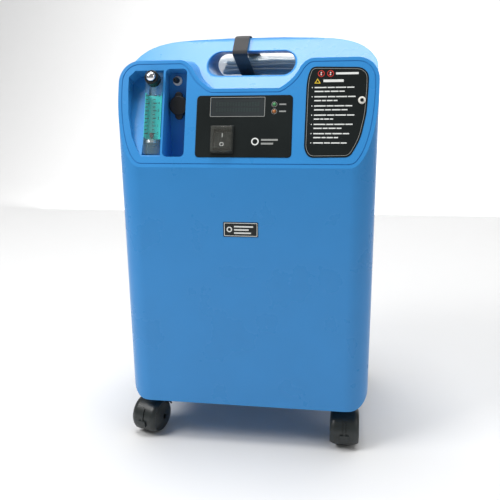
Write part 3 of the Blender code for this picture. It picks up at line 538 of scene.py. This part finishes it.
def control_outline(t):
    """(x, s) edge of the control face, moved in by t."""
    right = []
    for i in range(13):
        z = LIP_Z + 102.0 * (i / 12) ** 1.6
        dy = min(CORNER_R, LEAN * (z - LIP_Z))
        half = HALF_W - CORNER_R + math.sqrt(CORNER_R ** 2 - (CORNER_R - dy) ** 2)
        right.append((half, (z - LIP_Z) / math.cos(TILT)))
    tops = arc(147, 521, 28, 6, 90, 8) + DIP
    right += [(x, (z - LIP_Z) / math.cos(TILT)) for x, z in tops]
    return inset(right + [(-x, s) for x, s in reversed(right)], t)


def front_shell():
    shell = front_solid(0, 0)
    fillet(shell, 5.0, 5, 11.5, lambda p: p.y < -0.5 and abs(p.z - 582) > 2.5)
    cavity = front_solid(WALL, 12)
    cut(cavity, *recesses(WALL), hole(WALL, -150, 40))
    cut(shell, *recesses(0))
    fillet(shell, 1.4, 3, 50, lambda p: in_bay(p) and behind_face(p) < 1.2)
    fillet(shell, 2.2, 3, 50, lambda p: in_bay(p) and behind_face(p) > 8)
    cut(shell, hole(0, -150, 40))
    fillet(shell, 4.0, 5, 30, lambda p: p.y < -10 and abs(p.x) < 62.5 and 526 < p.z < 564)
    groove = prism("groove", control_outline(4.6), -0.8, 5, FACE)
    cut(groove, prism("island", control_outline(5.7), -9, 9, FACE))
    cut(shell, groove, cavity)
    x0, x1, s0, s1 = PANEL
    cut(
        shell,
        prism("seat", rounded(x0 - 0.3, x1 + 0.3, s0 - 0.3, s1 + 0.3, 5.3), -1.2, 5, FACE),
        prism("seat", inset(smooth_line(LABEL), -0.3), -1.0, 5, FACE),
        prism("seat", rounded(-27.1, 21.1, 316.7, 337.3, 1.5), FRONT_Y - 5, FRONT_Y + 1.0, "y"),
        box("window", (LCD[0] + 0.2, LCD[1] - 0.2), (LCD[2] + 0.2, LCD[3] - 0.2), (-9, 2), FACE),
        box("switch", (-42, -14), (20.4, 53.8), (-9, 2), FACE),
        lathe("reset", [(4.4, -9), (4.4, 2)], on_face(*RESET)),
        *[lathe("led", [(2.8, -9), (2.8, 2)], on_face(x, s)) for x, s in LEDS],
        *[lathe("port", [(r, -12), (r, 12)], pocket_frame(*p)) for p, r in ((OUTLET, 3.7), (PORT, 5.4))],
        *[rod("stem", 5.2, (x, -STEM_Y, 50), (x, -STEM_Y, 75)) for x in (-STEM_X, STEM_X)],
    )
    show(shell, "front_shell_moulding", "shell_blue", "cabinet", "front_shell")


def rear_shell():
    shell = rear_solid(0, 0.3)
    fillet(shell, 5.0, 5, 20, lambda p: p.y > 0.8 and abs(p.z - 582) > 2.5)
    cavity = rear_solid(WALL, -12)
    cut(cavity, hole(WALL, -40, 50))
    cut(shell, hole(0, -40, 60))
    fillet(shell, 3.0, 4, 40, lambda p: p.y > 8 and abs(p.x) < 62.5 and 526 < p.z < 564)
    cut(
        shell,
        cavity,
        *[rod("stem", 5.2, (x, STEM_Y, 50), (x, STEM_Y, 75)) for x in (-STEM_X, STEM_X)],
        prism("door", rounded(-71, 71, 328, 496, 4), REAR_Y - 2.2, REAR_Y + 9, "y"),
        box("intake", (-60, 60), (REAR_Y - 9, REAR_Y + 8), (345, 455)),
        prism("seat", rounded(-63, 63, 88, 214, 4), REAR_Y - 1.2, REAR_Y + 7, "y"),
        lathe("vent", [(55, -9), (55, 9)], axis_frame((0, REAR_Y, 151), (0, 1, 0)), 64),
        box("socket", (103.2, 132.8), (REAR_Y - 9, REAR_Y + 6), (109.2, 132.8)),
    )
    show(shell, "rear_shell_moulding", "shell_blue", "cabinet", "rear_shell")


# --- control face ------------------------------------------------------------------
def control_face():
    x0, x1, s0, s1 = PANEL
    panel = prism("panel", rounded(x0, x1, s0, s1, 5), -0.9, 0.7, FACE)
    fillet(panel, 0.35, 2, 40)
    cut(
        panel,
        prism("window", rounded(LCD[0], LCD[1], LCD[2], LCD[3], 0.8, 3), -9, 9, FACE),
        box("switch", (-42.3, -13.7), (20.1, 54.1), (-9, 9), FACE),
        *[lathe("led", [(2.8, -9), (2.8, 9)], on_face(x, s), 32) for x, s in LEDS],
    )
    show(panel, "display_panel_film", "panel_black", "cabinet", "display_panel")
    lines = []
    for row in range(2):
        for col in range(16):
            cx = LCD[0] + 8.2 + 3.7 * col
            cs = LCD[2] + 8.6 + 7.8 * row
            lines.append(box("cell", (cx - 1.5, cx + 1.5), (cs - 2.9, cs + 2.9), (0.21, 0.24), FACE))
    show(join("cells", lines), "lcd_cells", "print_black", "cabinet", weighted=False)
    edge = rounded(LCD[0] - 0.7, LCD[1] + 0.7, LCD[2] - 0.7, LCD[3] + 0.7, 1.2)
    rim = prism("rim", edge, 0.72, 0.8, FACE)
    cut(rim, prism("in", rounded(LCD[0], LCD[1], LCD[2], LCD[3], 0.8), -1, 3, FACE))
    bars = [rim]
    for x, s in LEDS:
        bars.append(lathe("ring", [(3.2, 0.72), (3.7, 0.72), (3.7, 0.8), (3.2, 0.8)], on_face(x, s), 32,
                          ring=True))
        bars.append(box("bar", (46.5, 55.5), (s - 0.9, s + 0.9), (0.72, 0.8), FACE))
    for i, width in enumerate((22, 16)):
        bars.append(box("bar", (24, 24 + width), (36 - 5 * i, 38.4 - 5 * i), (0.72, 0.8), FACE))
    show(join("print", bars), "panel_print", "print_grey", "cabinet", weighted=False)
    mark = lathe("mark", [(3.4, 0.72), (5.0, 0.72), (5.0, 0.82), (3.4, 0.82)], on_face(16, 35), 40,
                 ring=True)
    show(mark, "panel_mark", "print_white", "cabinet", weighted=False)

    x0, x1, s0, s1 = ROCKER
    mid_x, mid_s = (x0 + x1) / 2, (s0 + s1) / 2
    housing = prism("flange", rounded(x0, x1, s0, s1, 2), 1.0, 3.0, FACE)
    fillet(housing, 0.6, 3, 40, lambda p: behind_face(p) < -2.0)
    fuse(housing, box("tub", (-41.6, -14.4), (20.8, 53.4), (-24, 2), FACE))
    cut(housing, box("well", (-39.2, -16.8), (23.2, 51.0), (-21, 9), FACE))
    show(housing, "switch_bezel", "panel_black", "cabinet", "switch_housing")
    lever = [(-12.0, -3.0), (-11.6, 4.8), (0, 2.4), (11.6, 0.9), (12.0, -5.0), (4, -11), (-4, -11)]
    rocker = prism("lever", lever, mid_x - 10.6, mid_x + 10.6,
                   FACE @ Matrix.Translation((0, mid_s, -1)) @ SIDEWAYS)
    fillet(rocker, 0.9, 3, 25)
    show(rocker, "rocker_key", "panel_black", "rocker", "switch_rocker")
    stroke = box("on", (mid_x - 0.5, mid_x + 0.5), (mid_s + 3.6, mid_s + 9.0), (-1.0, 0.9), FACE)
    ring = lathe("off", [(1.9, -1.0), (2.8, -1.0), (2.8, 3.2), (1.9, 3.2)], on_face(mid_x, mid_s - 6.2),
                 32, ring=True)
    show(join("marks", [stroke, ring]), "rocker_marks", "print_white", "rocker", weighted=False)
    boot = prism("boot", rounded(x0 + 1.2, x1 - 1.2, s0 + 1.2, s1 - 1.2, 3), 3.3, 9.05, FACE)
    fillet(boot, 2.2, 5, 60, lambda p: behind_face(p) < -7)
    cut(boot, prism("in", rounded(x0 + 2.4, x1 - 2.4, s0 + 2.4, s1 - 2.4, 2), 1, 8.0, FACE))
    show(boot, "switch_cover", "clear_silicone", "cabinet", "switch_boot")

    dome = [(0, -14), (2.4, -14), (2.4, 0.8), (2.2, 1.4), (1.8, 1.9), (1.0, 2.3), (0, 2.4)]
    for (x, s), name, look in zip(LEDS, ("run", "alarm"), ("led_green", "led_amber")):
        show(lathe("led", dome, on_face(x, s), 24), f"led_{name}_lens", look, "cabinet", f"led_{name}")

    plate = prism("plate", rounded(-26.5, 20.5, 317, 337, 1.2), FRONT_Y - 0.3, FRONT_Y + 0.7, "y")
    show(plate, "badge_plate", "panel_black", "cabinet", "front_badge")
    border = prism("border", rounded(-25.6, 19.6, 317.9, 336.1, 0.9), FRONT_Y - 0.36, FRONT_Y - 0.31, "y")
    cut(border, prism("in", rounded(-24.9, 18.9, 318.6, 335.4, 0.7), FRONT_Y - 2, FRONT_Y + 2, "y"))
    bars = [border]
    for i, end in enumerate((14, 8, 11)):
        z = 331 - 4.4 * i
        bars.append(box("bar", (-12, end), (FRONT_Y - 0.36, FRONT_Y - 0.31), (z - 1.0, z + 1.0)))
    disc = axis_frame((-18.4, FRONT_Y - 0.31, 327), (0, -1, 0))
    bars.append(lathe("disc", [(2.2, 0), (3.8, 0), (3.8, 0.05), (2.2, 0.05)], disc, 32, ring=True))
    show(join("badge", bars), "badge_print", "print_white", "cabinet", weighted=False)

    nut = lathe("nut", [(2.5, 2.4), (4.0, 2.4), (4.5, 2.2), (4.8, 1.7), (4.8, 0.7), (4.1, 0.7),
                        (4.1, -3.6), (7.5, -3.6), (7.5, -26), (2.5, -26)], on_face(*RESET), 40, ring=True)
    show(nut, "breaker_nut", "white_plastic", "cabinet", "breaker_body")
    push = lathe("push", [(0, -12), (2.1, -12), (2.1, 3.6), (1.9, 4.1), (1.5, 4.3), (0, 4.4)],
                 on_face(*RESET), 32)
    show(push, "reset_plunger", "panel_black", "reset", "reset_button")
    notice()


WORD_SHARES = (0.32, 0.2, 0.28, 0.2)  # how a line of the notice divides into words


def notice():
    """Black notice plate with pictograms and plain bars in place of words."""
    outline = smooth_line(LABEL)
    plate = prism("label", outline, -0.7, 0.4, FACE)
    cut(plate, lathe("reset", [(4.6, -5), (4.6, 5)], on_face(*RESET), 40))
    show(plate, "notice_plate", "panel_black", "cabinet", "notice_label")
    low, high = 0.42, 0.5
    rim = prism("rim", inset(outline, 2.0), low, high, FACE)
    cut(rim, prism("in", inset(outline, 2.5), -1, 3, FACE))
    show(rim, "notice_rim", "print_grey", "cabinet", weighted=False)
    white, red = [], []
    for x in (100, 112):
        where = on_face(x, 125)
        red.append(lathe("ban", [(3.6, low), (4.4, low), (4.4, high), (3.6, high)], where, 32, ring=True))
        slash = where @ Matrix.Rotation(math.radians(45), 4, "Z")
        red.append(box("slash", (-3.7, 3.7), (-0.4, 0.4), (low, high), slash))
        white.append(box("sign", (-0.7, 0.7), (-2.2, 2.2), (low, high - 0.02), where))
    white.append(box("bar", (119, 148), (123.6, 126.4), (low, high), FACE))
    tri = [(91.5, 112.0), (99.5, 112.0), (95.5, 118.8)]
    mark = prism("tri", tri, low, high, FACE)
    cut(mark, prism("in", inset(tri, 0.9), -1, 3, FACE))
    show(mark, "notice_triangle", "print_yellow", "cabinet", weighted=False)
    white.append(box("head", (103, 129), (113.6, 117.0), (low, high), FACE))
    widths = ((52, 40), (54, 31), (50, 44), (53, 26), (51, 37), (47, 33), (44,))
    s = 106.5
    for pair in widths:
        white.append(lathe("dot", [(0, low), (0.7, low), (0.7, high), (0, high)], on_face(89, s), 12))
        for k, width in enumerate(pair):
            limit = 146 if s > 42 else 138
            x = 92.0
            for share in WORD_SHARES:
                end = min(x + width * share, limit)
                white.append(box("word", (x, end - 1.2), (s - 0.75, s + 0.75), (low, high), FACE))
                x = end
            s -= 5.2 if k == 0 else 0
        s -= 7.0
    show(join("words", white), "notice_print", "print_white", "cabinet", weighted=False)
    show(join("bans", red), "notice_signs", "print_red", "cabinet", weighted=False)


def flowmeter():
    block = prism("block", rounded(-136.8, -113.2, 18.5, 130, 2), -21, 0, FACE)
    fillet(block, 0.8, 3, 40)
    tube = on_face(TUBE_X, 0, -11) @ AXES["y"]
    cut(block, lathe("bore", [(3.7, 10), (3.7, 140)], tube, 32))
    cut(block, lathe("counterbore", [(8.0, 10), (8.0, 40)], tube, 40))
    cut(block, lathe("stem", [(3.0, -9), (3.0, 5)], on_face(*KNOB), 32))
    show(block, "flowmeter_block", "clear_acrylic", "cabinet", "flowmeter_body")
    sheets = (((-136.6, -113.4), (-16.0, -15.2)), ((-136.6, -136.2), (-15.2, -1.2)),
              ((-113.8, -113.4), (-15.2, -1.2)))
    channel = join("channel", [box("sheet", x, (42, 103), n, FACE) for x, n in sheets])
    show(channel, "scale_channel", "scale_teal", "cabinet", "flow_scale", weighted=False)
    ticks = []
    for i in range(11):
        s = 46 + 5.2 * i
        wide = 7.5 if i % 2 == 0 else 4.5
        for x in (-135.4, -124.6):
            reach = wide if x < -130 else wide * 0.9
            ticks.append(box("tick", (x, x + reach * 0.72), (s - 0.5, s + 0.5), (0.02, 0.08), FACE))
        if i % 2 == 0:
            ticks.append(text("n", str(i // 2), 5.2, on_face(-116.8, s, 0.05)))
    show(join("ticks", ticks), "flow_ticks", "print_black", "cabinet", weighted=False)
    bobs = lathe("bob", [(0, 41), (1.4, 42), (2.6, 45), (3.1, 47), (3.1, 49), (0, 49)], tube, 32)
    show(bobs, "float_bead", "float_red", "float", "flow_float")
    knob = lathe("knob", [(0, -6), (2.6, -6), (2.6, 0.8), (9.0, 0.8), (9.8, 1.6), (9.9, 3.0), (9.6, 13.6),
                          (9.2, 14.7), (8.4, 15.4), (6.9, 15.4), (6.9, 14.0), (0, 14.0)],
                 on_face(*KNOB), 72)
    ribs = []
    for k in range(24):
        where = on_face(*KNOB) @ Matrix.Rotation(2 * math.pi * k / 24, 4, "Z") @ Matrix.Translation(
            (10.05, 0, 0))
        ribs.append(lathe("rib", [(0.8, 3.2), (0.75, 13.0)], where, 10))
    cut(knob, *ribs)
    show(knob, "knob_grip", "panel_black", "flow_knob", "flow_knob")
    cap = lathe("cap", [(0, 14.3), (6.5, 14.3), (6.6, 15.8), (6.3, 17.0), (5.4, 18.5), (4.2, 19.5),
                        (2.6, 20.2), (1.2, 20.45), (0, 20.5)], on_face(*KNOB), 48)
    show(cap, "knob_button", "chrome", "flow_knob", "knob_cap")


def ports():
    out = pocket_frame(*OUTLET)
    ring = lathe("ring", [(3.5, 0.3), (6.5, 0.3), (6.5, 1.8), (6.2, 2.4), (5.6, 2.8), (3.5, 2.8)], out, 48,
                 ring=True)
    show(ring, "outlet_collar", "white_plastic", "cabinet", "outlet_ring")
    barbs = [(1.5, -8), (3.1, -8), (3.1, 6), (3.9, 6), (3.2, 9.6), (3.9, 9.8), (3.1, 13.4),
             (3.7, 13.6), (2.4, 18), (1.5, 18)]
    show(lathe("nipple", barbs, out, 40, ring=True), "outlet_barb", "castor_black", "cabinet",
         "outlet_nipple")
    out = pocket_frame(*PORT)
    side = out.inverted().to_3x3() @ Vector((1, 0, 0))
    upright = Matrix.Rotation(math.atan2(side.y, side.x), 4, "Z")
    cap = lathe("cap", [(0, 1.2), (13.3, 1.2), (13.3, 11.3), (12.9, 12.4), (12.0, 13.2), (6, 13.5),
                        (0, 13.6)], out, 64)
    for reach in (18.6, -19.0):
        low, high = sorted((reach * 0.3, reach))
        lobe = prism("lobe", rounded(-5.5, 5.5, low, high, 5.4, 8), 6.4, 12.4, out @ upright)
        fillet(lobe, 1.2, 3, 60)
        fuse(cap, lobe)
    cut(cap, lathe("well", [(10.2, -1), (10.2, 10.6)], out, 48))
    show(cap, "port_cap_rubber", "rubber_black", "port_cap", "port_cap")


# --- soft goods --------------------------------------------------------------------
def strap():
    """Hook-and-loop strap: one closed loop round the handle bar and under the bag."""
    path = [(6, 585.0), (-8, 582.2), (-16, 576.4), (-34.0, 562.0), (-31.5, 556.8), (6, 541.1),
            (31, 532.0), (43, 526.6), (60, 525.2), (104, 525.2), (111, 529), (112.5, 546), (106, 561.5),
            (60, 567.0), (30, 576.5), (18, 584.0)]
    pts = [Vector((0, y, z)) for y, z in path]
    dense = []
    for i, here in enumerate(pts):
        a, b, c, d = pts[i - 1], here, pts[(i + 1) % len(pts)], pts[(i + 2) % len(pts)]
        steps = max(2, int((c - b).length / 2.5))
        for k in range(steps):
            t = k / steps
            m1, m2 = (c - a) * 0.32, (d - b) * 0.32
            p = (b * (2 * t**3 - 3 * t * t + 1) + m1 * (t**3 - 2 * t * t + t)
                 + c * (-2 * t**3 + 3 * t * t) + m2 * (t**3 - t * t))
            dense.append(p)
    verts, faces, n, across = [], [], len(dense), 9
    for i, p in enumerate(dense):
        along = (dense[(i + 1) % n] - dense[i - 1]).normalized()
        out = Vector((0, -along.z, along.y))
        if out.dot(p - Vector((0, 10, 552))) < 0:
            out = -out
        drift = 2.0 * max(0.0, min(1.0, (560 - p.z) / 25)) if p.y < 40 else 2.0
        for lift in (0.0, 1.0):
            for k in range(across):
                u = k / (across - 1)
                edge = 0.25 * (abs(2 * u - 1) ** 6)
                x = -29 + 21.2 * u + drift
                verts.append(p + out * (lift * (1.15 - edge) + 0.12 * math.sin(i * 0.21 + 3 * u))
                             + Vector((x, 0, 0)))
    ring = 2 * across
    order = list(range(across)) + list(range(ring - 1, across - 1, -1))
    for i in range(n):
        j = (i + 1) % n
        for k in range(ring):
            a, b = order[k], order[(k + 1) % ring]
            faces.append((i * ring + a, i * ring + b, j * ring + b, j * ring + a))
    band = solid("band", verts, faces)
    show(band, "strap_web", "webbing", "cabinet", "strap", angle=60)


def bag():
    """Clear polybag of spare tubing, resting on the rear deck behind the handle."""
    rows, around, verts, faces = 60, 72, [], []
    for i in range(rows + 1):
        u = -1 + 2 * i / rows
        w = (1 - abs(u) ** 3.2) ** 0.5
        for k in range(around):
            a = 2 * math.pi * k / around
            c, s = math.cos(a), math.sin(a)
            cy = math.copysign(abs(c) ** 0.62, c)
            cz = math.copysign(abs(s) ** 0.62, s)
            w2 = max(w, 0.16)
            p = Vector((85 * u, 72 + 33.5 * cy * w2, 543.6 + 16.6 * cz * w2))
            crumple = noise.noise(p * 0.05) * 1.6 + abs(noise.noise(p * 0.13)) * 1.8 - 1.0
            inward = (Vector((85 * u, 72, 543.6)) - p).normalized()
            verts.append(p + inward * max(-0.6, crumple))
    for i in range(rows):
        for k in range(around):
            j = (k + 1) % around
            faces.append((i * around + k, i * around + j, (i + 1) * around + j, (i + 1) * around + k))
    faces += [tuple(range(around)), tuple(range(rows * around, (rows + 1) * around))]
    skin = solid("bag", verts, faces)
    show(skin, "bag_skin", "clear_film", "cabinet", "accessory_bag", angle=50, weighted=False)
    skin.data.shade_smooth()
    for n in range(3):
        path = []
        for i in range(150):
            a = 2 * math.pi * i / 42
            r = 1 - 0.05 * n
            wob = noise.noise(Vector((i * 0.09, n * 3.1, 0.4)))
            path.append((r * (60 + 4 * wob) * math.cos(a), 70 + r * 20 * math.sin(a) + 2 * wob,
                         534.5 + 6.2 * n + 2.4 * math.sin(a * 0.7 + n) + 0.03 * i))
        show(pipe("tube", path, 2.4, 8), f"bag_tubing_{n + 1}", "tube_clear", "cabinet", angle=60,
             weighted=False).data.shade_smooth()


# --- castors ---------------------------------------------------------------------
def sector(name, r0, r1, start, end, half, n=24):
    """An arc-shaped bar round the wheel centre, as wide as 2 * half."""
    ring = arc(0, 0, r1, start, end, n) + arc(0, 0, r0, end, start, n)
    return prism(name, [(-TRAIL - a, WHEEL_R + b) for a, b in ring], -half, half, "x")


def cowl(profile, start, end, n):
    """A (radius, x) section swept part of the way round the wheel centre, from the trail side up."""
    verts, faces, m = [], [], len(profile)
    for i in range(n + 1):
        a = math.radians(start + (end - start) * i / n)
        verts += [(x, -TRAIL - r * math.cos(a), WHEEL_R + r * math.sin(a)) for r, x in profile]
    for i in range(n):
        for k in range(m):
            j = (k + 1) % m
            faces.append((i * m + k, i * m + j, (i + 1) * m + j, (i + 1) * m + k))
    return solid("cowl", verts, faces + [tuple(range(m)), tuple(range(n * m, n * m + m))])


COWL_EDGE = ((28.4, 12.4), (28.3, 14.0), (27.9, 15.8), (27.2, 17.6), (26.2, 19.2), (25.0, 20.4),
             (24.0, 20.8), (23.2, 20.4))
COWL_LINING = ((22.7, 19.4), (23.6, 18.0), (24.5, 16.4), (25.2, 15.2), (25.9, 14.0))
COWL = (
    [(r, x) for r, x in COWL_EDGE + COWL_LINING]
    + [(r, -x) for r, x in COWL_LINING[::-1] + COWL_EDGE[::-1]]
)


def castor(place, x, y, turn):
    body = f"castor_{place}"
    where = Matrix.Translation((x, y, 0)) @ Matrix.Rotation(math.radians(turn), 4, "Z")
    hub = axis_frame((0, -TRAIL, WHEEL_R), (1, 0, 0))
    hood = cowl(COWL, -34, 150, 44)
    fuse(hood, sector("web", 0.01, 26.6, -20, 150, 2.6, 24))
    fuse(hood, rod("boss", 9.0, (0, 0, 40), (0, 0, 61), 40))
    cut(hood, *[lathe("space", [(25.8, a), (25.8, b)], hub, 64) for a, b in ((3.0, 14.1), (-14.1, -3.0))])
    fuse(hood, rod("stem", 4.2, (0, 0, 52), (0, 0, 90)), rod("axle", 3.4, (-14, -TRAIL, WHEEL_R),
                                                            (14, -TRAIL, WHEEL_R)))
    if place.startswith("front"):
        cut(hood, sector("slot", 27.4, 30, -6, 42, 2.4, 16))
    show(move(hood, where), f"{body}_cowl", "castor_black", body, f"{body}_hood")
    for side, way in (("inner", -1), ("outer", 1)):
        form = [(3.8, 3.4), (20.5, 3.4), (23.2, 3.6), (23.2, 15.9), (22.4, 16.8), (20.0, 18.2),
                (16.0, 19.8), (12.0, 20.8), (8, 21.3), (3.8, 21.5)]
        wheel = lathe("wheel", [(r, way * h) for r, h in form], hub, 64, ring=True)
        name = f"{body}_wheel_{side}"
        show(move(wheel, where), f"{name}_disc", "castor_black", name, name)
        tread = [(23.3, 4.0), (24.2, 4.0), (24.8, 4.6), (WHEEL_R, 5.6), (WHEEL_R, 13.6), (24.8, 14.4),
                 (24.2, 15.1), (23.3, 15.6)]
        tyre = lathe("tread", [(r, way * h) for r, h in tread], hub, 64, ring=True)
        show(move(tyre, where), f"{name}_tread", "tread_grey", name)
    if place.startswith("front"):
        lever = sector("lever", 28.0, 29.6, 0, 40, 1.7, 16)
        fuse(lever, sector("pad", 28.8, 31.0, -16, 2, 6.4, 8))
        fillet(lever, 0.35, 2, 60)
        show(move(lever, where), f"{body}_pedal", "castor_black", f"{body}_brake", f"{body}_brake")


def back():
    door = prism("door", rounded(-70, 70, 330, 448, 3), REAR_Y - 1.9, REAR_Y - 0.1, "y")
    slots = [prism("slot", rounded(-56, 56, 340 + 9 * i, 343.5 + 9 * i, 1.7, 4), REAR_Y - 9, REAR_Y + 9, "y")
             for i in range(10)]
    slots.append(prism("finger", rounded(-18, 18, 434, 443, 4), REAR_Y - 0.9, REAR_Y + 9, "y"))
    cut(door, *slots)
    show(door, "intake_door", "shell_blue", "intake_cover", "intake_cover")


# --- stage ----------------------------------------------------------------------
LAMPS = (  # name, place, aim, side (m) and power (W)
    ("key", (-1.10, -0.75, 1.55), (0, -0.1, 0.5), 0.7, 22),
    ("fill", (1.5, -0.7, 1.2), (0, 0, 0.35), 0.9, 4),
    ("top", (0.0, 0.3, 6.0), (0, 0.3, 0.0), 3.6, 400),
    ("back", (0.0, 1.7, 1.1), (0.0, 3.4, 1.0), 2.4, 42),
)


def stage():
    """A pale sweep, soft lamps and the camera, all in metres."""
    scene = bpy.context.scene
    scene.view_settings.view_transform = "Standard"
    scene.view_settings.look = "None"
    verts = []
    profile = [(-3.0, 0.0), (2.2, 0.0)]
    profile += [(2.2 + 1.2 * math.sin(math.radians(a)), 1.2 - 1.2 * math.cos(math.radians(a)))
                for a in range(6, 91, 6)]
    profile.append((3.4, 5.0))
    for y, z in profile:
        verts += [(-6.0, y, z), (6.0, y, z)]
    mesh = bpy.data.meshes.new("cyclorama")
    mesh.from_pydata(verts, [], [(2 * i, 2 * i + 1, 2 * i + 3, 2 * i + 2) for i in range(len(profile) - 1)])
    mesh.shade_smooth()
    sweep = bpy.data.objects.new("cyclorama", mesh)
    scene.collection.objects.link(sweep)
    sweep.data.materials.append(material("paper_white", (0.62, 0.62, 0.62), 0.9, mottle=0.005))
    world = bpy.data.worlds.new("studio")
    scene.world = world
    world.use_nodes = True
    world.node_tree.nodes["Background"].inputs["Color"].default_value = (1, 1, 1, 1)
    world.node_tree.nodes["Background"].inputs["Strength"].default_value = 0.22
    for name, at, aim, size, power in LAMPS:
        lamp = bpy.data.lights.new(name, "AREA")
        lamp.shape, lamp.size, lamp.energy = "SQUARE", size, power
        obj = bpy.data.objects.new(name, lamp)
        obj.location = at
        obj.rotation_mode = "QUATERNION"
        obj.rotation_quaternion = (Vector(aim) - Vector(at)).to_track_quat("-Z", "Y")
        scene.collection.objects.link(obj)
    lens = bpy.data.cameras.new("photo_camera")
    lens.lens, lens.sensor_width, lens.sensor_fit = 44.64, 36.0, "HORIZONTAL"
    camera = bpy.data.objects.new("photo_camera", lens)
    right, up, ahead = ((0.98913, 0.14665, -0.01117), (-0.02614, 0.25007, 0.96787),
                        (-0.14473, 0.95706, -0.25118))
    turn = Matrix((right, up, tuple(-c for c in ahead))).transposed().to_4x4()
    camera.matrix_world = Matrix.Translation((0.131, -0.947, 0.510)) @ turn
    scene.collection.objects.link(camera)
    scene.camera = camera


front_shell()
rear_shell()
control_face()
flowmeter()
ports()
strap()
bag()
for spot in CASTORS:
    castor(*spot)
back()
stage()
